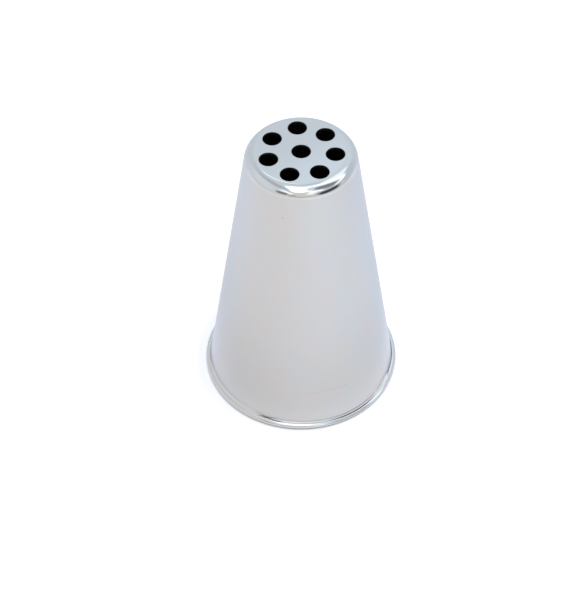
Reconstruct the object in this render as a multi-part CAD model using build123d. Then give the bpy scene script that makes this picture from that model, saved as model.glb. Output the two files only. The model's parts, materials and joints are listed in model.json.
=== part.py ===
from build123d import *
import os
from math import acos, asin, atan2, ceil, cos, degrees, hypot, radians, sin, sqrt, tan

# A large piping nozzle with many openings, for piping grass and hair. It is pressed from
# one steel sheet: a seamless cone, a flat perforated end and a rolled rim. The sheet's
# three formed zones are three solids, which meet face to face on the straight wall.
# The origin is the centre of the foot circle, and +Z runs up the axis to the end.

# The whole nozzle, in millimetres
RIM_DIAMETER = 30.0  # over the rolled rim
HEIGHT = 44.7  # from the foot to the flat of the end
SHEET = 0.45  # thickness of the steel

# The perforated end
END_DIAMETER = 15.76  # where the outer line of the wall would meet the plane of the end
SHOULDER_RADIUS = 1.85  # outside radius of the corner between the end and the wall
SKIRT_DEPTH = 2.6  # from the flat of the end down to the foot of its zone
HOLE_DIAMETER = 2.74
HOLE_CIRCLE_DIAMETER = 9.7
RING_HOLES = 7  # around one hole in the middle

# The rolled rim
CURL_RADIUS = 0.1  # inside radius of the curl
LIP_GAP = 0.05  # between the cut edge of the sheet and the wall
FOOT_WIDTH = 0.35  # the flat that the press leaves under the curl
RIM_DEPTH = 1.6  # from the foot up to the top of its zone

# How far the punches pass the sheet on both sides
OVERRUN = 1.0

# Angles, in degrees
FULL_TURN = 360
HALF_TURN = 180
QUARTER_TURN = 90
BEAD_STEP = 22.5  # the bead is so thin that its round is drawn in short straight steps
HOLLOW_STEP = 60  # and the hollow inside it in longer ones

# The section of the sheet: x is the radius and y is the height. The curl starts where
# the wall meets it square to its radius, so the wall's slope follows from the sizes above.
curl_outer_radius = CURL_RADIUS + SHEET
curl_x = RIM_DIAMETER / 2 - curl_outer_radius
curl_y = sqrt(curl_outer_radius**2 - (FOOT_WIDTH / 2) ** 2)
end_x = END_DIAMETER / 2
slant = hypot(curl_x - end_x, HEIGHT - curl_y)
half_angle = atan2(curl_x - end_x, HEIGHT - curl_y) - asin(CURL_RADIUS / slant)


def wall_point(height, depth=0):
    """A point of the section at a height, this deep under the outer face of the wall"""
    outer_x = end_x + (HEIGHT - height) * tan(half_angle)
    return (outer_x - depth / cos(half_angle), height)


def revolved(outline):
    """The solid that a closed outline of the section sweeps in one turn"""
    return revolve(Plane.XZ * make_face(outline), Axis.Z)


def cone_wall():
    """The straight wall between the rim's zone and the end's zone"""
    top = HEIGHT - SKIRT_DEPTH
    corners = [
        wall_point(RIM_DEPTH),
        wall_point(top),
        wall_point(top, SHEET),
        wall_point(RIM_DEPTH, SHEET),
    ]
    return revolved(Polyline(*corners, close=True))


def punch():
    """The cutter of one hole, on the axis"""
    length = SHEET + 2 * OVERRUN
    middle = HEIGHT - SHEET / 2
    return Pos(0, 0, middle) * Cylinder(HOLE_DIAMETER / 2, length)


def perforated_end():
    """The flat end, its shoulder and a short skirt of wall, with the punched holes"""
    foot = HEIGHT - SKIRT_DEPTH
    inner_radius = SHOULDER_RADIUS - SHEET
    # The corner's centre lies as deep under the wall as under the flat
    centre = wall_point(HEIGHT - SHOULDER_RADIUS, SHOULDER_RADIUS)
    lean = degrees(half_angle)
    outer_arc = CenterArc(centre, SHOULDER_RADIUS, lean, QUARTER_TURN - lean)
    inner_arc = CenterArc(centre, inner_radius, lean, QUARTER_TURN - lean)
    outline = [
        Line((0, HEIGHT), outer_arc @ 1),
        outer_arc,
        Line(outer_arc @ 0, wall_point(foot)),
        Line(wall_point(foot), wall_point(foot, SHEET)),
        Line(wall_point(foot, SHEET), inner_arc @ 0),
        inner_arc,
        Line(inner_arc @ 1, (0, HEIGHT - SHEET)),
        Line((0, HEIGHT - SHEET), (0, HEIGHT)),
    ]
    cutter = punch()
    ring = PolarLocations(HOLE_CIRCLE_DIAMETER / 2, RING_HOLES, start_angle=QUARTER_TURN)
    return revolved(outline) - [cutter] - [place * cutter for place in ring]


def curl_point(radius, angle):
    """A point of the section at an angle, in degrees, about the centre of the curl"""
    return (curl_x + radius * cos(radians(angle)), curl_y + radius * sin(radians(angle)))


def curled(radius, start, end, step):
    """A stretch of the curl in straight steps, with a corner at each multiple of the step"""
    corners = [step * k for k in range(ceil(start / step), ceil(end / step))]
    return Polyline(*[curl_point(radius, angle) for angle in (start, *corners, end)])


def rolled_rim():
    """The sheet curled outwards into a bead, with its foot and a short stretch of wall"""
    foot_angle = degrees(asin(FOOT_WIDTH / 2 / curl_outer_radius))
    lip_angle = degrees(acos((CURL_RADIUS - LIP_GAP) / curl_outer_radius))
    # The curl runs from the wall under the foot and round to the lip, which faces the wall
    start = HALF_TURN + degrees(half_angle)
    foot_start = HALF_TURN + QUARTER_TURN - foot_angle
    foot_end = HALF_TURN + QUARTER_TURN + foot_angle
    lip = start + FULL_TURN - lip_angle
    outline = [
        Line(wall_point(RIM_DEPTH), curl_point(CURL_RADIUS, start)),
        curled(CURL_RADIUS, start, lip, HOLLOW_STEP),
        Line(curl_point(CURL_RADIUS, lip), curl_point(curl_outer_radius, lip)),
        curled(curl_outer_radius, foot_end, lip, BEAD_STEP),
        Line(curl_point(curl_outer_radius, foot_start), curl_point(curl_outer_radius, foot_end)),
        curled(curl_outer_radius, start, foot_start, BEAD_STEP),
        Line(curl_point(curl_outer_radius, start), wall_point(RIM_DEPTH, SHEET)),
        Line(wall_point(RIM_DEPTH, SHEET), wall_point(RIM_DEPTH)),
    ]
    return revolved(outline)


nodes = {
    "cone_wall": cone_wall(),
    "perforated_end": perforated_end(),
    "rolled_rim": rolled_rim(),
}

os.makedirs("parts", exist_ok=True)
for name, solid in nodes.items():
    solid.label = name
    export_step(solid, f"parts/{name}.step")
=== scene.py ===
import bpy
import json
from math import asin, atan2, cos, hypot, pi, radians, sin, sqrt, tan
from mathutils import Matrix, Vector
from mathutils.geometry import delaunay_2d_cdt

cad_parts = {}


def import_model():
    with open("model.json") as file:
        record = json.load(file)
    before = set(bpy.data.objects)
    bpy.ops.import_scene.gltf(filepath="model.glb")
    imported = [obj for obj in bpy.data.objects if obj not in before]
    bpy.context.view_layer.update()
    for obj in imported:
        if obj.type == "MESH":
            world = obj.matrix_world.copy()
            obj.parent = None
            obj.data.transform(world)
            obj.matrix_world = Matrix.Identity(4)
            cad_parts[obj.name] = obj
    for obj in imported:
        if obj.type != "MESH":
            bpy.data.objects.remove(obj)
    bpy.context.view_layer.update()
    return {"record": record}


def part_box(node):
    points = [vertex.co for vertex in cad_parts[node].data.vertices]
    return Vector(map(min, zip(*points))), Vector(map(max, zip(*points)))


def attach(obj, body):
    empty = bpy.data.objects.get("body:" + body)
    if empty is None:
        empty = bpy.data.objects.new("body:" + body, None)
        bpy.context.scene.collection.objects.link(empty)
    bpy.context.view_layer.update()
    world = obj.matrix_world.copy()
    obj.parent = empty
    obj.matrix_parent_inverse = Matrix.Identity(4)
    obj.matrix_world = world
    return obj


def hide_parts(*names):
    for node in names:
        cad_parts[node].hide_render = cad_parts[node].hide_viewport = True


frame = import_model()

# A large piping nozzle with many openings, standing on its rolled rim on a pale floor.
# It is one steel pressing. Its wall, perforated end and rolled rim are three closed
# meshes, whose faces run on from one to the next.

MM = 0.001
FULL_TURN = 2 * pi
QUARTER_TURN = pi / 2
FULL_TURN_DEGREES = 360

# The nozzle, from the frame
rim_low, rim_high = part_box("rolled_rim")
wall_low, wall_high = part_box("cone_wall")
end_low, end_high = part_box("perforated_end")
rim_radius = rim_high.x
height = end_high.z
rim_top = rim_high.z
skirt_foot = end_low.z
lean = atan2(wall_high.x - end_high.x, wall_high.z - wall_low.z)
bores = [mount for mount in frame["record"]["mounts"] if mount["kind"] == "bore"]

# The steel
SHEET = 0.45 * MM
SHOULDER_RADIUS = 1.85 * MM  # outside, between the flat end and the wall
CURL_RADIUS = 0.1 * MM  # inside the rolled rim
FOOT_WIDTH = 0.35 * MM  # the flat that the press leaves under the curl
DIE_ROLL_WIDTH = 0.06 * MM  # the punch draws the edge of a hole in by this much
DIE_ROLL_DEPTH = 0.05 * MM
LIP_ROUND = 0.05 * MM  # rounding of the cut edge of the sheet
CLOSED_LIP_ROUND = 0.01 * MM  # where the polish has filled the corner

# The rim isn't rolled evenly. On most of the way round, the lip touches the wall. In some
# stretches it stands off and leaves a groove, in others the wall flares out to meet it, and
# in others the curl is pressed lower, or is higher.
OPEN_LIP_GAP = 0.16 * MM
CLOSED_LIP_GAP = 0.004 * MM
LEAST_FLARE = 0.02 * MM  # radius of the hollow round at the foot of the wall
MOST_FLARE = 0.6 * MM
EVEN_ABOVE = 1.58 * MM  # the wall above this stays where it is
# Each stretch has four numbers. The first three are in degrees round from +X: its middle,
# half its length, and the length over which it fades at each end. The last is its share of
# the full gap or flare, or the share of its height that the curl loses there.
OPEN_STRETCHES = (
    (-185, 5, 4, 0.05),
    (-115, 4, 4, 0.75),
    (-84, 4, 8, 0.1),
    (-62, 8, 12, 0.85),
    (-12, 13, 4, 0.4),
    (60, 20, 10, 0.6),
)
FLARED_STRETCHES = (
    (-150.5, 22, 8, 0.85),
    (-97, 13, 8, 0.3),
    (-62, 14, 12, 0.35),
    (-35.5, 6, 6, 0.7),
    (110, 20, 12, 0.6),
)
PRESSED_STRETCHES = ((-56, 20, 24, 0.12), (-24, 4, 12, -0.2), (150, 30, 20, 0.08))
# The stretches of the section that no polish reaches. They take the darker drawn steel, which there
# is partly painted shade in the rim's crevice
UNPOLISHED = ("inner_wall", "hollow", "cut_edge", "joint")

# How finely round forms are divided
TURN_STEPS = 256
RIM_STEPS = 512
HOLE_STEPS = 72
WALL_STEPS = 24
ROUND_STEPS = 32
SMALL_ROUND_STEPS = 6
BRIGHT_ROLL_STEPS = 2  # of the die roll, from the flat on; the rest takes the darker drawn steel, as painted shade like the hole's
FLARE_STEPS = 12

# The places of the two steels in each mesh
OUTSIDE = 0
INSIDE = 1

# What the Delaunay call is to return: the triangles inside the outermost loop
INSIDE_LOOPS = 1

curl_outer = CURL_RADIUS + SHEET
curl_centre = (rim_radius - curl_outer, sqrt(curl_outer**2 - (FOOT_WIDTH / 2) ** 2))


def on_wall(at_height, depth=0):
    """A point of the section at a height, this deep under the outer face of the wall"""
    outer = end_high.x - (at_height - skirt_foot) * tan(lean)
    return (outer - depth / cos(lean), at_height)


def on_circle(centre, radius, angle):
    """A point at an angle round a circle, in the section or from above"""
    return (centre[0] + radius * cos(angle), centre[1] + radius * sin(angle))


def ring(centre, radius, steps):
    """Points round a circle from above, as the sweep places them"""
    return [on_circle(centre, radius, FULL_TURN * k / steps) for k in range(steps)]


# Sections are pairs of radius and height, walked with the steel on the left. A stretch is
# a list of points, each with the direction that the steel faces there.


def straight(start, end, steps=1):
    """A straight stretch between two points"""
    along = Vector((end[0] - start[0], end[1] - start[1])).normalized()
    facing = (along[1], -along[0])
    shares = [k / steps for k in range(steps + 1)]
    return [
        ((start[0] + (end[0] - start[0]) * s, start[1] + (end[1] - start[1]) * s), facing)
        for s in shares
    ]


def arc(centre, radius, start, end, steps=ROUND_STEPS):
    """A round stretch, which bulges out when its angle grows and is hollow when it shrinks"""
    side = 1 if end > start else -1
    angles = [start + (end - start) * k / steps for k in range(steps + 1)]
    return [
        (on_circle(centre, radius, a), (side * cos(a), side * sin(a))) for a in angles
    ]


def die_roll(hole_radius):
    """The drawn-in edge of a punched hole: a quarter of an ellipse from the flat to its side"""
    middle = (hole_radius + DIE_ROLL_WIDTH, height - DIE_ROLL_DEPTH)
    stretch = []
    for k in range(SMALL_ROUND_STEPS + 1):
        a = QUARTER_TURN * (1 + k / SMALL_ROUND_STEPS)
        point = (middle[0] + DIE_ROLL_WIDTH * cos(a), middle[1] + DIE_ROLL_DEPTH * sin(a))
        facing = Vector((cos(a) / DIE_ROLL_WIDTH, sin(a) / DIE_ROLL_DEPTH)).normalized()
        stretch.append((point, tuple(facing)))
    return stretch


class Shell:
    """Gathers faces, with the direction that each corner faces, into one mesh"""

    GRAIN = 1e-8  # points nearer than this are one

    def __init__(self, *materials):
        self.materials = materials
        self.found = {}
        self.points = []
        self.faces = []
        self.facings = []
        self.material_of = []

    def index(self, point):
        """The number of a point, which is added where it is new"""
        key = tuple(round(c / self.GRAIN) for c in point)
        if key not in self.found:
            self.found[key] = len(self.points)
            self.points.append(point)
        return self.found[key]

    def add(self, corners, material):
        """Adds a face from its corners, each a point and a direction"""
        self.faces.append([self.index(point) for point, facing in corners])
        self.facings.extend(facing for point, facing in corners)
        self.material_of.append(material)

    def turn(self, stretches, material=OUTSIDE, steps=TURN_STEPS, axis=(0, 0)):
        """Sweeps a stretch round an upright axis. There is one stretch for each step, so
        that the section can change on the way round."""
        rings = []
        for k, stretch in enumerate(stretches):
            a = FULL_TURN * k / steps
            c, s = cos(a), sin(a)
            rings.append(
                [
                    ((axis[0] + r * c, axis[1] + r * s, z), (fr * c, fr * s, fz))
                    for (r, z), (fr, fz) in stretch
                ]
            )
        for this, following in zip(rings, rings[1:] + rings[:1]):
            for low, high in zip(range(len(this)), range(1, len(this))):
                corners = [this[low], following[low], following[high], this[high]]
                self.add(corners, material)

    def sweep(self, stretch, material=OUTSIDE, steps=TURN_STEPS, axis=(0, 0)):
        """Sweeps one and the same stretch all the way round"""
        self.turn([stretch] * steps, material, steps, axis)

    def pierced_disc(self, radius, at_height, up, hole_growth=0, material=OUTSIDE):
        """A flat disc that faces up or down, with the punched holes left open. The triangles
        that fill a hole are left out: their middles lie inside its circle of points."""
        loops = [ring((0, 0), radius, TURN_STEPS)]
        holes = []
        for bore in bores:
            place = bore["pos_m"]
            hole_radius = bore["dims"]["r_mm"] * MM + hole_growth
            holes.append((place, hole_radius * cos(pi / HOLE_STEPS)))
            loops.append(ring(place, hole_radius, HOLE_STEPS))
        points = [point for loop in loops for point in loop]
        edges = []
        for loop in loops:
            first = len(edges)
            edges += [(first + k, first + (k + 1) % len(loop)) for k in range(len(loop))]
        _, _, triangles, sources, _, _ = delaunay_2d_cdt(
            [Vector(point) for point in points], edges, [], INSIDE_LOOPS, self.GRAIN
        )
        facing = (0, 0, 1 if up else -1)
        for triangle in triangles:
            corners = [points[sources[k][0]] for k in triangle]
            middle_x, middle_y = [sum(values) / len(values) for values in zip(*corners)]
            if any(hypot(middle_x - p[0], middle_y - p[1]) < r for p, r in holes):
                continue
            a, b, c = [Vector(point) for point in corners]
            turned = (b - a).cross(c - a)
            if (turned > 0) != up:
                corners.reverse()
            self.add([((*point, at_height), facing) for point in corners], material)

    def piece(self, name, node):
        """Makes the mesh, which takes the place of a node"""
        mesh = bpy.data.meshes.new(name)
        mesh.from_pydata(self.points, [], self.faces)
        for material in self.materials:
            mesh.materials.append(material)
        mesh.polygons.foreach_set("material_index", self.material_of)
        mesh.polygons.foreach_set("use_smooth", [True] * len(self.faces))
        mesh.normals_split_custom_set(self.facings)
        made = bpy.data.objects.new(name, mesh)
        bpy.context.scene.collection.objects.link(made)
        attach(made, "root")
        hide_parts(node)


def satin_wall(outside, inside):
    """The straight wall between the rim's zone and the end's zone"""
    shell = Shell(outside, inside)
    shell.sweep(straight(on_wall(rim_top), on_wall(skirt_foot), WALL_STEPS))
    shell.sweep(straight(on_wall(skirt_foot), on_wall(skirt_foot, SHEET)))
    down = straight(on_wall(skirt_foot, SHEET), on_wall(rim_top, SHEET), WALL_STEPS)
    shell.sweep(down, INSIDE)
    shell.sweep(straight(on_wall(rim_top, SHEET), on_wall(rim_top)))
    shell.piece("satin_wall", "cone_wall")


def punched_end(outside, inside):
    """The flat end with its punched holes, the shoulder and a short skirt of wall"""
    shell = Shell(outside, inside)
    centre = on_wall(height - SHOULDER_RADIUS, SHOULDER_RADIUS)
    outer = arc(centre, SHOULDER_RADIUS, lean, QUARTER_TURN)
    inner = arc(centre, SHOULDER_RADIUS - SHEET, QUARTER_TURN, lean)
    shell.sweep(straight(on_wall(skirt_foot), outer[0][0]))
    shell.sweep(outer)
    flat_radius = centre[0]
    shell.pierced_disc(flat_radius, height, up=True, hole_growth=DIE_ROLL_WIDTH)
    shell.pierced_disc(flat_radius, height - SHEET, up=False, material=INSIDE)
    shell.sweep(inner, INSIDE)
    shell.sweep(straight(inner[-1][0], on_wall(skirt_foot, SHEET)), INSIDE)
    shell.sweep(straight(on_wall(skirt_foot, SHEET), on_wall(skirt_foot)))
    for bore in bores:
        hole_radius = bore["dims"]["r_mm"] * MM
        place = bore["pos_m"]
        edge = die_roll(hole_radius)
        # The outer part of the die roll is plain steel; its inner part takes the darker drawn
        # steel, as painted shade
        shell.sweep(edge[: BRIGHT_ROLL_STEPS + 1], OUTSIDE, HOLE_STEPS, place)
        shell.sweep(edge[BRIGHT_ROLL_STEPS:], INSIDE, HOLE_STEPS, place)
        side = straight((hole_radius, height - DIE_ROLL_DEPTH), (hole_radius, height - SHEET))
        shell.sweep(side, INSIDE, HOLE_STEPS, place)
    shell.piece("punched_end", "perforated_end")


def smooth_step(share):
    """Rises smoothly from 0 at 0 to 1 at 1"""
    share = min(max(share, 0), 1)
    return share * share * (3 - 2 * share)


def share_at(degrees, stretches):
    """The sum of what stretches round the nozzle give at an angle"""
    half_turn = FULL_TURN_DEGREES / 2
    found = 0
    for middle, half_length, ends, share in stretches:
        turned = (degrees - middle + half_turn) % FULL_TURN_DEGREES - half_turn
        off = abs(turned) - half_length
        found += share * smooth_step(1 - off / ends)
    return found


def pressed(stretch, loss):
    """A stretch of the rim with this share of its height lost. Its points slide along the
    slope of the wall, so that the wall stays straight."""
    changed = []
    for (r, z), (fr, fz) in stretch:
        if z < EVEN_ABOVE:
            facing = Vector((fr, (fz - loss * tan(lean) * fr) / (1 - loss))).normalized()
            r, z, (fr, fz) = r + z * loss * tan(lean), z * (1 - loss), facing
        changed.append(((min(r, rim_radius), z), (fr, fz)))
    return changed


def beside_curl(out, up):
    """A point at distances from the curl's centre, square to the wall and along it"""
    across = out * cos(lean) - up * sin(lean)
    return (curl_centre[0] + across, curl_centre[1] + out * sin(lean) + up * cos(lean))


def lip_and_wall(opened, flared):
    """The lip's angle, and the stretches of the wall's face from the hollow up to where it
    runs straight. The flare is a hollow round that meets the bead's circle at the lip."""
    flare = LEAST_FLARE + (MOST_FLARE - LEAST_FLARE) * flared
    swing = asin((flare - CURL_RADIUS) / (curl_outer + flare))
    reach = (curl_outer + flare) * cos(swing)
    gap = CLOSED_LIP_GAP + (OPEN_LIP_GAP - CLOSED_LIP_GAP) * opened
    lip = FULL_TURN + lean + QUARTER_TURN - swing - gap / curl_outer
    rounded = []
    for k in range(FLARE_STEPS + 1):
        a = pi + (QUARTER_TURN - swing) * (1 - k / FLARE_STEPS)
        point = beside_curl(flare - CURL_RADIUS + flare * cos(a), reach + flare * sin(a))
        rounded.append((point, (-cos(a + lean), -sin(a + lean))))
    hollow_start = on_circle(curl_centre, CURL_RADIUS, pi + lean)
    return lip, straight(hollow_start, rounded[0][0]), rounded


def curl(opened, flared):
    """The stretches of the rolled rim, from the wall's inner face to its outer face"""
    start = pi + lean
    foot = asin(FOOT_WIDTH / 2 / curl_outer)
    foot_start, foot_end = 3 * QUARTER_TURN - foot, 3 * QUARTER_TURN + foot
    lip, joint, flare = lip_and_wall(opened, flared)
    # The cut edge has its corner at the lip's angle, and is rounded there
    lip_round = CLOSED_LIP_ROUND + (LIP_ROUND - CLOSED_LIP_ROUND) * opened
    turn_radius = curl_outer - lip_round
    bead_end = lip - lip_round / turn_radius
    middle = on_circle(curl_centre, turn_radius, bead_end)
    rounded = arc(middle, lip_round, bead_end, bead_end + QUARTER_TURN, SMALL_ROUND_STEPS)
    under = on_circle(curl_centre, curl_outer, foot_start)
    hollow_end = on_circle(curl_centre, CURL_RADIUS, lip)
    return {
        "inner_wall": straight(on_wall(rim_top, SHEET), on_circle(curl_centre, curl_outer, start)),
        "inner_round": arc(curl_centre, curl_outer, start, foot_start, 2 * SMALL_ROUND_STEPS),
        "foot": straight(under, on_circle(curl_centre, curl_outer, foot_end)),
        "bead": arc(curl_centre, curl_outer, foot_end, bead_end, 2 * ROUND_STEPS),
        "lip_round": rounded,
        "cut_edge": straight(rounded[-1][0], hollow_end),
        "hollow": arc(curl_centre, CURL_RADIUS, lip, start, ROUND_STEPS),
        "joint": joint,
        "flare": flare,
        "outer_wall": straight(flare[-1][0], on_wall(rim_top)),
        "top": straight(on_wall(rim_top), on_wall(rim_top, SHEET)),
    }


def curled_rim(outside, inside):
    """The rolled rim, with a section of its own at each step round"""
    shell = Shell(outside, inside)
    sections = []
    for k in range(RIM_STEPS):
        degrees = FULL_TURN_DEGREES * k / RIM_STEPS
        opened = share_at(degrees, OPEN_STRETCHES)
        section = curl(opened, share_at(degrees, FLARED_STRETCHES))
        loss = share_at(degrees, PRESSED_STRETCHES)
        sections.append({part: pressed(section[part], loss) for part in section})
    for part in sections[0]:
        material = INSIDE if part in UNPOLISHED else OUTSIDE
        shell.turn([section[part] for section in sections], material, RIM_STEPS)
    shell.piece("curled_rim", "rolled_rim")


# Materials. Lengths on the nozzle are in millimetres here, and angles in degrees round
# from +X. A pair of numbers says where a change starts and where it is complete.

STEEL = (0.581, 0.582, 0.585, 1)
WARM_STEEL = (0.592, 0.581, 0.576, 1)
COOL_STEEL = (0.567, 0.585, 0.599, 1)
GREEN_STEEL = (0.572, 0.591, 0.579, 1)
# Painted shade on the back and left of the flat
PAINTED_DIM_STEEL = (0.552, 0.550, 0.556, 1)
# Painted light on the foot of the wall above the bead
PAINTED_LIGHT_STEEL = (0.78, 0.77, 0.78, 1)
# Painted warm cast on the bead at the left
PAINTED_WARM_STEEL = (0.608, 0.577, 0.556, 1)
# Painted reflection on the front and right of the flat
PAINTED_PALE_STEEL = (0.617, 0.638, 0.66, 1)
MARK_AND_SHADE_STEEL = (0.30, 0.29, 0.28, 1)  # in the bottom of a mark, and as painted contact shade at the foot of the bead
EDGE_TINT = (0.87, 0.89, 0.95, 1)  # of the light that skims the steel
BEAD_EDGE_TINT = (0.72, 0.73, 0.76, 1)
# Partly the drawn steel's own duller colour, partly painted shade inside the nozzle and in crevices
DRAWN_AND_SHADED_STEEL = (0.36, 0.36, 0.37, 1)

# Faint drifts of tint over the plain steel. Each has its colour, the shift and the scale of
# its noise, and the pair of noise values between which it comes in.
DRIFTS = (
    (WARM_STEEL, (0.0, 0.0, 0.0), 1.0, (0.42, 0.66)),
    (GREEN_STEEL, (7.0, 3.0, 5.0), 1.2, (0.45, 0.7)),
    (COOL_STEEL, (2.0, 9.0, 4.0), 1.4, (0.42, 0.7)),
)

# The roughness of each finish, and what its marks or streaks add to it at most
WALL_ROUGHNESS = 0.36
END_ROUGHNESS = 0.28
SHOULDER_EXTRA = 0.08  # where the shoulder isn't polished
INSIDE_ROUGHNESS = 0.3
POLISHED_SHOULDER_ROUGHNESS = 0.06
POLISHED_BEAD_ROUGHNESS = 0.13
MARKS_EXTRA = 0.08
STREAKS_EXTRA = 0.1

# How deep the marks are, in metres
WALL_MARKS = 0.6e-6
END_MARKS = 0.5e-6
STREAKS = 1e-6
FINE_SHARE = 0.65  # of the fine marks among all
RINGS_SHARE = 0.5  # of the turning rings that the polish leaves

# Polished stretches. Each has its middle, half its length and the length over which it fades
# at each end, as have the stretches of the foot below.
SHOULDER_POLISH = (-92, 58, 26)
SHOULDER_POLISH_FROM = (1.7, 1.25)  # down from the flat
SHOULDER_FROM = (-0.1, 0.15)  # out from the edge of the flat
BEAD_POLISH = ((-98, 17, 10), (-43, 7, 9))
LIP_IN = 0.34  # from the outline of the rim to its lip
LIP_SOFT = 0.06  # on both sides of the lip

# Painted reflection on the flat: its front and right are painted paler and cooler, and the rest
# dimmer, for the sky that it mirrors
PAINTED_PALE_LEAN = 0.6  # how far the pale side is turned to the right
PAINTED_PALE_FROM = (-2.5, 6.5)
PAINTED_FLAT_SHARE = 0.8  # of the flat's painted reflection and shade, over the plain steel

# Marks of use on the wall. A speck has its angle, height and size, and its share of the worn
# colour. The scratch has its angle, half its length in degrees, its height and its width.
SPECKS = ((-114.0, 39.7, 0.16, 0.6), (-66.2, 6.85, 0.2, 0.3), (-20.6, 24.8, 0.2, 0.25))
SCRATCH = (-80.0, 14, 7.0, 0.14)
SCRATCH_SHARE = 0.11
MARK_CORE = 0.4  # share of a mark's size that is dark all over
SCRATCH_EVEN = 0.8  # share of its length before it fades

# Painted light and shade on the rim: the foot of the wall above the bead is painted brighter, less
# in front and more at the right, against the dark band that it mirrors. The bead is painted warmer
# at the left, against the cool sky that it mirrors, and darker where it stands, as painted contact
# shade.
PAINTED_LIGHT_FROM = (0.9, 1.35)
PAINTED_LIGHT_INSIDE = 0.1  # from the lip
PAINTED_LIGHT_SHARE = 0.5
PAINTED_LIGHT_LESS_IN_FRONT = (-96, 12, 12)
PAINTED_LIGHT_FRONT_LOSS = 0.25
PAINTED_LIGHT_RIGHT_FROM = (1.5, 7)
PAINTED_LIGHT_RIGHT = 0.4
PAINTED_WARM_LEFT = (-150, 32, 12)
PAINTED_WARM_ON_LIGHT_BAND = 0.5
PAINTED_CONTACT_SHADE_BELOW = (0.4, 0.62)
PAINTED_CONTACT_SHADE = 0.55


class Value:
    """A number that varies over a surface. Arithmetic on it adds Math nodes."""

    def __init__(self, finish, socket):
        self.finish = finish
        self.socket = socket

    def math(self, operation, *inputs):
        node = self.finish.node("ShaderNodeMath", {"operation": operation}, dict(enumerate(inputs)))
        return Value(self.finish, node.outputs[0])

    def __add__(self, other):
        return self.math("ADD", self, other)

    def __radd__(self, other):
        return self.math("ADD", other, self)

    def __sub__(self, other):
        return self.math("SUBTRACT", self, other)

    def __rsub__(self, other):
        return self.math("SUBTRACT", other, self)

    def __mul__(self, other):
        return self.math("MULTIPLY", self, other)

    def __rmul__(self, other):
        return self.math("MULTIPLY", other, self)

    def __truediv__(self, other):
        return self.math("DIVIDE", self, other)

    def __rtruediv__(self, other):
        return self.math("DIVIDE", other, self)

    def __pow__(self, power):
        return self.math("POWER", self, power)

    def __abs__(self):
        return self.math("ABSOLUTE", self)

    def above(self, low, high):
        """Rises smoothly from 0 at low to 1 at high"""
        node = self.finish.node(
            "ShaderNodeMapRange",
            {"interpolation_type": "SMOOTHSTEP"},
            {"Value": self, "From Min": low, "From Max": high},
        )
        return Value(self.finish, node.outputs[0])

    def below(self, low, high):
        """Falls smoothly from 1 at low to 0 at high"""
        return 1 - self.above(low, high)


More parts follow.
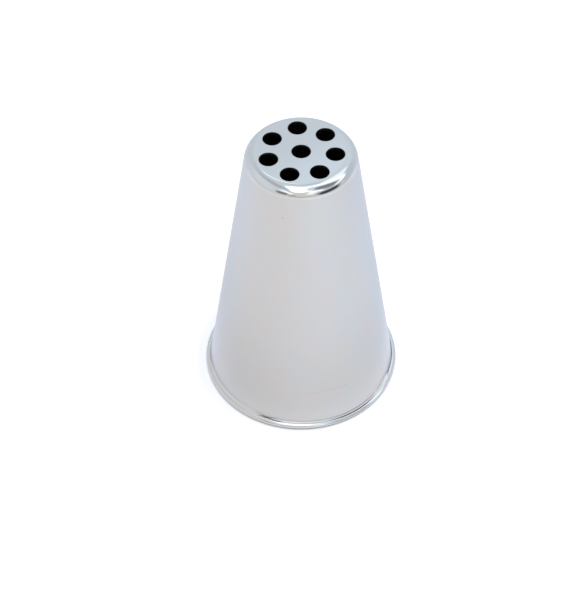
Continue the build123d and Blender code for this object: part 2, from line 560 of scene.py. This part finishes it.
class Finish:
    """The nodes of one material or of the world, with places on the nozzle in millimetres"""

    # The sockets of a Mix node that mixes colours
    MIX_FACTOR, MIX_FIRST, MIX_SECOND = 0, 6, 7
    MIXED = 2

    def __init__(self, owner):
        self.owner = owner
        owner.use_nodes = True
        self.tree = owner.node_tree
        self.tree.nodes.clear()

    def node(self, kind, settings=None, inputs=None):
        """Adds a node: its settings come first, then the values or links of its sockets"""
        node = self.tree.nodes.new(kind)
        for name, value in (settings or {}).items():
            setattr(node, name, value)
        for name, value in (inputs or {}).items():
            if isinstance(value, Value):
                value = value.socket
            if isinstance(value, bpy.types.NodeSocket):
                self.tree.links.new(value, node.inputs[name])
            else:
                node.inputs[name].default_value = value
        return node

    def vector_math(self, operation, *inputs):
        node = self.node("ShaderNodeVectorMath", {"operation": operation}, dict(enumerate(inputs)))
        return node.outputs[0]

    def vector(self, x, y, z):
        return self.node("ShaderNodeCombineXYZ", None, {"X": x, "Y": y, "Z": z}).outputs[0]

    def mix(self, factor, first, second):
        """A colour between two others"""
        inputs = {self.MIX_FACTOR: factor, self.MIX_FIRST: first, self.MIX_SECOND: second}
        node = self.node("ShaderNodeMix", {"data_type": "RGBA"}, inputs)
        return node.outputs[self.MIXED]

    def noise(self, place, scale=1.0, detail=2.0, roughness=0.5):
        """Even noise, mostly between 0.3 and 0.7"""
        node = self.node(
            "ShaderNodeTexNoise",
            None,
            {"Vector": place, "Scale": scale, "Detail": detail, "Roughness": roughness},
        )
        return Value(self, node.outputs[0])

    def places(self):
        """Sets x, y, z, the radius and the direction from the axis"""
        metres = self.node("ShaderNodeTexCoord").outputs["Object"]
        scaled = self.node(
            "ShaderNodeVectorMath", {"operation": "SCALE"}, {0: metres, "Scale": 1 / MM}
        )
        self.place = scaled.outputs[0]
        self.x, self.y, self.z = self.parts(self.place)
        self.radius = (self.x * self.x + self.y * self.y) ** 0.5
        self.east = self.x / self.radius
        self.north = self.y / self.radius

    def parts(self, vector):
        """The three values of a vector"""
        split = self.node("ShaderNodeSeparateXYZ", None, {0: vector})
        return [Value(self, out) for out in split.outputs]

    def around(self, turns, runs):
        """A place for noise that is drawn out round the nozzle and has no seam: turns says
        how fast it changes on the way round, and runs how fast it changes up the section"""
        run = (self.z - self.radius) * runs
        return self.vector(self.east * turns, self.north * turns, run)

    def speck(self, degrees, at_height, size):
        """1 in a small spot on the wall, at an angle round from +X and a height"""
        radius = on_wall(at_height * MM)[0] / MM
        a = radians(degrees)
        spot = (radius * cos(a), radius * sin(a), at_height)
        distance = self.node(
            "ShaderNodeVectorMath", {"operation": "DISTANCE"}, {0: self.place, 1: spot}
        )
        away = Value(self, distance.outputs["Value"])
        return away.below(size * MARK_CORE, size)

    def sector(self, degrees, half_length, ends):
        """1 in a stretch round the nozzle, with its middle at an angle round from +X"""
        a = radians(degrees)
        facing = self.east * cos(a) + self.north * sin(a)
        return facing.above(cos(radians(half_length + ends)), cos(radians(half_length)))

    def scratch(self, degrees, half_length, at_height, width):
        """1 in a thin line round the wall, with its middle at an angle and a height"""
        line = abs(self.z - at_height).below(width * MARK_CORE, width)
        even = half_length * SCRATCH_EVEN
        return line * self.sector(degrees, even, half_length - even)

    def surface(self, colour, roughness, marks, depth, edge_tint=EDGE_TINT):
        """Steel with marks of a depth in metres"""
        bump = self.node(
            "ShaderNodeBump", None, {"Height": marks, "Strength": 1.0, "Distance": depth}
        )
        inputs = {
            "Base Color": colour,
            "Roughness": roughness,
            "Metallic": 1.0,
            "Specular Tint": edge_tint,
            "Normal": bump.outputs[0],
        }
        shader = self.node("ShaderNodeBsdfPrincipled", None, inputs)
        self.node("ShaderNodeOutputMaterial", None, {"Surface": shader.outputs[0]})
        return self.owner


def new_finish(name):
    return Finish(bpy.data.materials.new(name))


def steel_colour(finish):
    """Plain steel with a faint drift of tint, as light polishing leaves it"""
    drift = finish.around(turns=2.8, runs=0.13)
    colour = STEEL
    for tint, shift, scale, found in DRIFTS:
        shifted = finish.vector_math("ADD", drift, shift)
        colour = finish.mix(finish.noise(shifted, scale).above(*found), colour, tint)
    return colour


def brushed(finish):
    """Fine marks round the nozzle, between 0 and 1"""
    fine = finish.noise(finish.around(turns=5.0, runs=9.0), detail=3.0, roughness=0.6)
    coarse = finish.noise(finish.around(turns=3.0, runs=2.2))
    return fine * FINE_SHARE + coarse * (1 - FINE_SHARE)


def wall_finish():
    """Satin steel with a few small marks of use"""
    finish = new_finish("satin_steel")
    finish.places()
    marks = brushed(finish)
    roughness = WALL_ROUGHNESS + marks * MARKS_EXTRA
    worn = sum(finish.speck(*place) * share for *place, share in SPECKS)
    worn = worn + finish.scratch(*SCRATCH) * SCRATCH_SHARE
    colour = finish.mix(worn, steel_colour(finish), MARK_AND_SHADE_STEEL)
    return finish.surface(colour, roughness, marks, WALL_MARKS)


def end_finish():
    """A satin flat and skirt, with a shoulder that is polished in front. The flat carries a painted
    reflection, paler and cooler at the front and right, dimmer elsewhere
    """
    finish = new_finish("satin_end_with_polish_and_painted_reflection")
    finish.places()
    marks = brushed(finish)
    top = height / MM
    flat_radius = on_wall(height - SHOULDER_RADIUS, SHOULDER_RADIUS)[0] / MM
    rounded = finish.radius.above(*[flat_radius + out for out in SHOULDER_FROM])
    polished = finish.z.above(*[top - down for down in SHOULDER_POLISH_FROM])
    polished = polished * rounded * finish.sector(*SHOULDER_POLISH)
    satin = rounded * SHOULDER_EXTRA + END_ROUGHNESS + marks * MARKS_EXTRA
    roughness = satin * (1 - polished) + polished * POLISHED_SHOULDER_ROUGHNESS
    # Painted reflection: paler and cooler towards the front and right of the flat, dimmer elsewhere
    pale = (finish.x * PAINTED_PALE_LEAN - finish.y).above(*PAINTED_PALE_FROM)
    flat = finish.mix(pale, PAINTED_DIM_STEEL, PAINTED_PALE_STEEL)
    colour = finish.mix((1 - rounded) * PAINTED_FLAT_SHARE, steel_colour(finish), flat)
    rings = finish.noise(finish.around(turns=4.0, runs=14.0))
    relief = marks * (1 - polished) + rings * polished * RINGS_SHARE
    return finish.surface(colour, roughness, relief, END_MARKS)


def rim_finish():
    """Satin steel, with the bead polished in two stretches in front. Light and shade are painted on
    it: a brighter band at the foot of the wall, a warm cast on the bead at the left, and contact
    shade at the bead's foot
    """
    finish = new_finish("satin_rim_with_polish_and_painted_light")
    finish.places()
    marks = brushed(finish)
    lip = rim_radius / MM - LIP_IN
    polished = sum(finish.sector(*stretch) for stretch in BEAD_POLISH)
    polished = polished * finish.radius.above(lip - LIP_SOFT, lip + LIP_SOFT)
    satin = WALL_ROUGHNESS + marks * MARKS_EXTRA
    roughness = satin * (1 - polished) + polished * POLISHED_BEAD_ROUGHNESS
    # Painted light: a brighter band at the foot of the wall, against the dark band that it mirrors,
    # less in front and more at the right
    foot = finish.z.above(*PAINTED_LIGHT_FROM) * finish.radius.below(lip - PAINTED_LIGHT_INSIDE, lip)
    bright = PAINTED_LIGHT_SHARE - finish.sector(*PAINTED_LIGHT_LESS_IN_FRONT) * PAINTED_LIGHT_FRONT_LOSS
    bright = bright + finish.x.above(*PAINTED_LIGHT_RIGHT_FROM) * PAINTED_LIGHT_RIGHT
    colour = finish.mix(foot * bright, steel_colour(finish), PAINTED_LIGHT_STEEL)
    # Painted warm cast at the left, against the cool sky that the bead mirrors
    warm = finish.sector(*PAINTED_WARM_LEFT) * (1 - foot * PAINTED_WARM_ON_LIGHT_BAND)
    colour = finish.mix(warm, colour, PAINTED_WARM_STEEL)
    # Painted contact shade: darker at the bottom of the bead, where it stands
    colour = finish.mix(finish.z.below(*PAINTED_CONTACT_SHADE_BELOW) * PAINTED_CONTACT_SHADE, colour, MARK_AND_SHADE_STEEL)
    relief = marks * (1 - polished)
    return finish.surface(colour, roughness, relief, WALL_MARKS, BEAD_EDGE_TINT)


def drawn_and_shaded_finish():
    """Steel as the die has drawn it, with streaks up the wall. Its darker colour is partly its own
    duller finish and partly painted shade, inside the nozzle, in the rim's crevice and on the inner
    part of each hole's edge
    """
    finish = new_finish("drawn_steel_with_painted_shade")
    finish.places()
    streaks = finish.noise(finish.around(turns=60.0, runs=0.25), detail=3.0)
    roughness = INSIDE_ROUGHNESS + streaks * STREAKS_EXTRA
    return finish.surface(DRAWN_AND_SHADED_STEEL, roughness, streaks, STREAKS)


drawn_and_shaded_steel = drawn_and_shaded_finish()
satin_wall(wall_finish(), drawn_and_shaded_steel)
punched_end(end_finish(), drawn_and_shaded_steel)
curled_rim(rim_finish(), drawn_and_shaded_steel)

# The studio

CAMERA_AZIMUTH = radians(-6.455)  # from -Y towards +X
CAMERA_ELEVATION = radians(50.234)
CAMERA_DISTANCE = 286.22 * MM  # from the middle of the foot
LOOK_DOWN = radians(48.479)
LOOK_ASIDE = radians(-0.458)
CAMERA_ROLL = radians(-0.302)
LENS = 108.0  # in millimetres, as is the sensor
SENSOR_WIDTH = 36.0
CLIP_START = 10 * MM


def rotation(angle, axis):
    return Matrix.Rotation(angle, 4, axis)


def camera():
    """Looks down on the nozzle from the front, a little from the left"""
    lens = bpy.data.cameras.new("camera")
    lens.lens = LENS
    lens.sensor_width = SENSOR_WIDTH
    lens.clip_start = CLIP_START
    made = bpy.data.objects.new("camera", lens)
    aim = rotation(CAMERA_AZIMUTH - LOOK_ASIDE, "Z")
    aim = aim @ rotation(QUARTER_TURN - LOOK_DOWN, "X")
    aim = aim @ rotation(CAMERA_ROLL, "Z")
    flat = CAMERA_DISTANCE * cos(CAMERA_ELEVATION)
    up = CAMERA_DISTANCE * sin(CAMERA_ELEVATION)
    place = (flat * sin(CAMERA_AZIMUTH), -flat * cos(CAMERA_AZIMUTH), up)
    made.matrix_world = Matrix.Translation(place) @ aim
    bpy.context.scene.collection.objects.link(made)
    bpy.context.scene.camera = made


LAMP_RADIANCE = 2.2


def ceiling_light(name, across, back, above, width, length, heading):
    """A level rectangular lamp over the nozzle, as seen from the camera: it stands this far
    across to the right, back and above, and its long side heads this many degrees right of
    straight back. What the steel mirrors of it is drawn softer in the world."""
    lamp = bpy.data.lights.new(name, "AREA")
    lamp.shape = "RECTANGLE"
    lamp.size = width
    lamp.size_y = length
    lamp.energy = LAMP_RADIANCE * pi * width * length
    made = bpy.data.objects.new(name, lamp)
    place = rotation(CAMERA_AZIMUTH, "Z") @ Matrix.Translation((across, back, above))
    made.matrix_world = place @ rotation(radians(-heading), "Z")
    made.visible_glossy = False
    bpy.context.scene.collection.objects.link(made)


FLOOR_SIZE = 6.0  # metres
FLOOR_COLOUR = (0.82, 0.82, 0.82, 1)
PAINTED_SHADE_FLOOR = (0.1, 0.1, 0.1, 1)  # painted shade on the floor inside the mouth, where no lamp reaches
WHITE = (1, 1, 1, 1)
WARM_LIGHT = (1.12, 0.95, 0.9, 1)
COOL_LIGHT = (0.83, 1.0, 1.3, 1)
SHADOW_TINT = (0.85, 0.92, 1.1, 1)
DIFFUSE_SKY = 0.65
LOW_SKY = (1.03, 1.0, 0.93, 1)  # low in front of the nozzle
FRONT_SKY = (0.95, 1.0, 1.06, 1)
BACK_SKY = (0.95, 1.06, 1.15, 1)
BACK_SKY_FROM = (-0.1, 0.6)  # how far back it starts and is full, where the horizon is 1
LOW_SKY_FROM = (-0.92, -0.7)

# Bands of the floor, in millimetres, each with its softer edge from the first number to the
# second. These are counted outwards from the outline of the rim:
FAR = (5, 35)
NEAR = (1, 16)
BESIDE = (1.5, 6)
AT_RIM = (0.8, 3)
VERY_FAR = (150, 500)
MOUTH = (-0.8, -0.4)
SHADOW = (0.1, 2.5)
CLEARED = (0.2, 1.2)
LEFT_SHADE = (0.3, 2)
RIGHT_SHADE = (0.1, 0.9)
CLEAR_FROM = (-0.35, 0.02)
MIRRORED_FROM = (-0.3, 0.5)
# And these from the middle:
RIGHT = (-40, 40)
BEHIND = (-12, 12)
RIGHT_SIDE = (30, 80)
RIGHT_SIDE_LEAN = 0.6  # how far it turns to the back
FAR_RIGHT = (60, 150)

# What the floor's glow gives the camera, as shares of white
CLEAR_GLOW = 0.375
CLEARED_EXTRA = 0.1  # which lifts the shadow at the rim
LEFT_SHADE_LOSS = 0.07
RIGHT_SHADE_LOSS = 0.04

# What it gives to the steel that mirrors it
MIRRORED_GLOW = 0.16
FAR_EXTRA = 0.2
RIGHT_EXTRA = 0.09
BEHIND_EXTRA = 0.05
NEAR_EXTRA = 0.03
NEAR_BEHIND_EXTRA = 0.25
BESIDE_EXTRA = 0.06
BESIDE_RIGHT_EXTRA = 0.07
AT_RIM_EXTRA = 0.17
AT_RIM_RIGHT_EXTRA = 0.03
RIGHT_SIDE_LOSS = 0.14
FAR_RIGHT_LOSS = 0.2

# How cool that light is
COOL = 0.15
COOL_FAR = 0.1
COOL_RIGHT = 0.4
COOL_BEHIND = 0.5

# The room that the polished steel mirrors: soft patches on a flat map of the sky, which has
# the zenith in its middle and the horizon at 1, and runs across to the camera's right and
# back from it. Each has its middle across and back, the degrees from across to its length,
# half its length and width, how soft its edge is, and its shade, where the plain sky is 1.
ROOM = {
    "dim_wall_left": (-0.29, 0.05, 104, 0.33, 0.085, 0.45, 0.71),
    "dim_wall_behind": (-0.34, 0.38, 125, 0.26, 0.13, 0.5, 0.87),
    "bright_gap_behind": (-0.08, 0.28, 0, 0.08, 0.04, 0.4, 1.45),
    "dim_gap_behind": (0.02, 0.19, 0, 0.08, 0.045, 0.5, 0.83),
    "pale_wall_left": (-0.62, -0.16, 90, 0.30, 0.22, 0.35, 1.07),
    "dim_wall_right": (0.68, 0.18, 104, 0.30, 0.22, 0.35, 0.84),
    "window_right": (0.25, 0.17, 10, 0.14, 0.10, 0.2, 1.5),
    "softbox_right": (0.33, -0.15, 0, 0.29, 0.28, 0.15, 1.9),
    "dark_hood_in_it": (0.32, -0.165, 8, 0.205, 0.14, 0.45, 0.36),
    "end_of_the_hood": (0.45, -0.30, 40, 0.11, 0.07, 0.5, 0.72),
    "softbox_in_front": (-0.03, -0.21, 90, 0.23, 0.115, 0.12, 2.4),
    "slit_between_softboxes": (0.10, -0.17, 95, 0.11, 0.04, 0.5, 1.1),
    "low_light_right": (0.20, -0.52, 80, 0.13, 0.08, 0.3, 1.65),
    "low_light_left": (-0.25, -0.49, 115, 0.16, 0.045, 0.4, 1.8),
    "low_dark_left": (-0.43, -0.61, 145, 0.14, 0.12, 0.35, 0.3),
    "low_dark_middle": (-0.23, -0.79, 20, 0.11, 0.07, 0.4, 0.6),
    "low_dark_right": (0.65, -0.51, 52, 0.31, 0.19, 0.35, 0.1),
    "dark_horizon": (0.08, -0.97, 0, 0.45, 0.07, 0.4, 0.66),
}
CORNER_POWER = 4  # which rounds the corners of the patches well


def rays(finish):
    """1 for the camera's rays, and 1 for those that mirror or show the background"""
    path = finish.node("ShaderNodeLightPath").outputs
    kinds = ("Is Camera Ray", "Is Glossy Ray", "Is Transmission Ray")
    camera_ray, glossy_ray, through_ray = [Value(finish, path[kind]) for kind in kinds]
    return camera_ray, glossy_ray.math("MAXIMUM", glossy_ray, through_ray)


def floor():
    """Its glow brings the lit floor up to white for the camera, and gives what the steel
    mirrors of it the tint and shade of the room"""
    half = FLOOR_SIZE / 2
    mesh = bpy.data.meshes.new("floor")
    corners = [(-half, -half, 0), (half, -half, 0), (half, half, 0), (-half, half, 0)]
    mesh.from_pydata(corners, [], [(0, 1, 2, 3)])
    finish = new_finish("pale_floor")
    finish.places()
    camera_ray, mirrored_ray = rays(finish)
    gap = finish.radius - rim_radius / MM
    right = finish.x.above(*RIGHT)
    behind = finish.y.above(*BEHIND)
    far = gap.above(*FAR)
    clear = CLEAR_GLOW + gap.below(*CLEARED) * CLEARED_EXTRA
    clear = clear - (1 - right) * gap.below(*LEFT_SHADE) * LEFT_SHADE_LOSS
    clear = clear - right * gap.below(*RIGHT_SHADE) * RIGHT_SHADE_LOSS
    clear = clear * camera_ray * gap.above(*CLEAR_FROM)
    mirrored = MIRRORED_GLOW + far * FAR_EXTRA + right * RIGHT_EXTRA + behind * BEHIND_EXTRA
    mirrored = mirrored + gap.below(*NEAR) * (NEAR_EXTRA + behind * NEAR_BEHIND_EXTRA)
    mirrored = mirrored + gap.below(*BESIDE) * (BESIDE_EXTRA + right * BESIDE_RIGHT_EXTRA)
    mirrored = mirrored + gap.below(*AT_RIM) * (AT_RIM_EXTRA + right * AT_RIM_RIGHT_EXTRA)
    right_side = (finish.x + finish.y * RIGHT_SIDE_LEAN).above(*RIGHT_SIDE)
    far_right = gap.above(*VERY_FAR) * finish.x.above(*FAR_RIGHT)
    mirrored = mirrored - right_side * RIGHT_SIDE_LOSS - far_right * FAR_RIGHT_LOSS
    mirrored = mirrored * gap.above(*MIRRORED_FROM)
    cool = COOL + far * COOL_FAR + right * COOL_RIGHT + behind * COOL_BEHIND
    mirrored_tint = finish.mix(cool, WARM_LIGHT, COOL_LIGHT)
    # Painted shade: the floor inside the mouth is dark
    colour = finish.mix(gap.above(*MOUTH), PAINTED_SHADE_FLOOR, FLOOR_COLOUR)
    plain = finish.node("ShaderNodeBsdfDiffuse", None, {"Color": colour})
    strength = clear + mirrored_ray * mirrored
    shadow = finish.mix(gap.below(*SHADOW), WHITE, SHADOW_TINT)
    tint = finish.mix(mirrored_ray, shadow, mirrored_tint)
    glow = finish.node("ShaderNodeEmission", None, {"Color": tint, "Strength": strength})
    both = finish.node("ShaderNodeAddShader", None, {0: plain.outputs[0], 1: glow.outputs[0]})
    finish.node("ShaderNodeOutputMaterial", None, {"Surface": both.outputs[0]})
    mesh.materials.append(finish.owner)
    made = bpy.data.objects.new("floor", mesh)
    bpy.context.scene.collection.objects.link(made)


def world():
    """An even sky, with the patches of the room in what the steel mirrors of it"""
    finish = Finish(bpy.data.worlds.new("studio"))
    camera_ray, mirrored_ray = rays(finish)
    x, y, up = finish.parts(finish.node("ShaderNodeTexCoord").outputs["Generated"])
    across = x * cos(CAMERA_AZIMUTH) + y * sin(CAMERA_AZIMUTH)
    back = y * cos(CAMERA_AZIMUTH) - x * sin(CAMERA_AZIMUTH)
    map_across = across / (up + 1)
    map_back = back / (up + 1)
    shade = 1
    for middle_across, middle_back, degrees, length, width, soft, patch in ROOM.values():
        off_across = map_across - middle_across
        off_back = map_back - middle_back
        c, s = cos(radians(degrees)), sin(radians(degrees))
        along = (off_across * c + off_back * s) / length
        aside = (off_back * c - off_across * s) / width
        # How far out a place lies in the patch, whose edge is at 1
        off = (along**CORNER_POWER + aside**CORNER_POWER) ** (1 / CORNER_POWER)
        shade = shade + (patch - shade) * off.below(1 - soft, 1 + soft)
    strength = DIFFUSE_SKY + camera_ray * (1 - DIFFUSE_SKY) + mirrored_ray * (shade - DIFFUSE_SKY)
    tint = finish.mix(back.above(*BACK_SKY_FROM), FRONT_SKY, BACK_SKY)
    tint = finish.mix(back.below(*LOW_SKY_FROM), tint, LOW_SKY)
    colour = finish.mix(mirrored_ray, WHITE, tint)
    sky = finish.node("ShaderNodeBackground", None, {"Color": colour, "Strength": strength})
    finish.node("ShaderNodeOutputWorld", None, {"Surface": sky.outputs[0]})
    bpy.context.scene.world = finish.owner


camera()
floor()
world()
ceiling_light(
    "overhead_softbox", across=0.14, back=-0.12, above=0.6, width=0.27, length=0.95, heading=18
)
bpy.context.scene.view_settings.view_transform = "Standard"
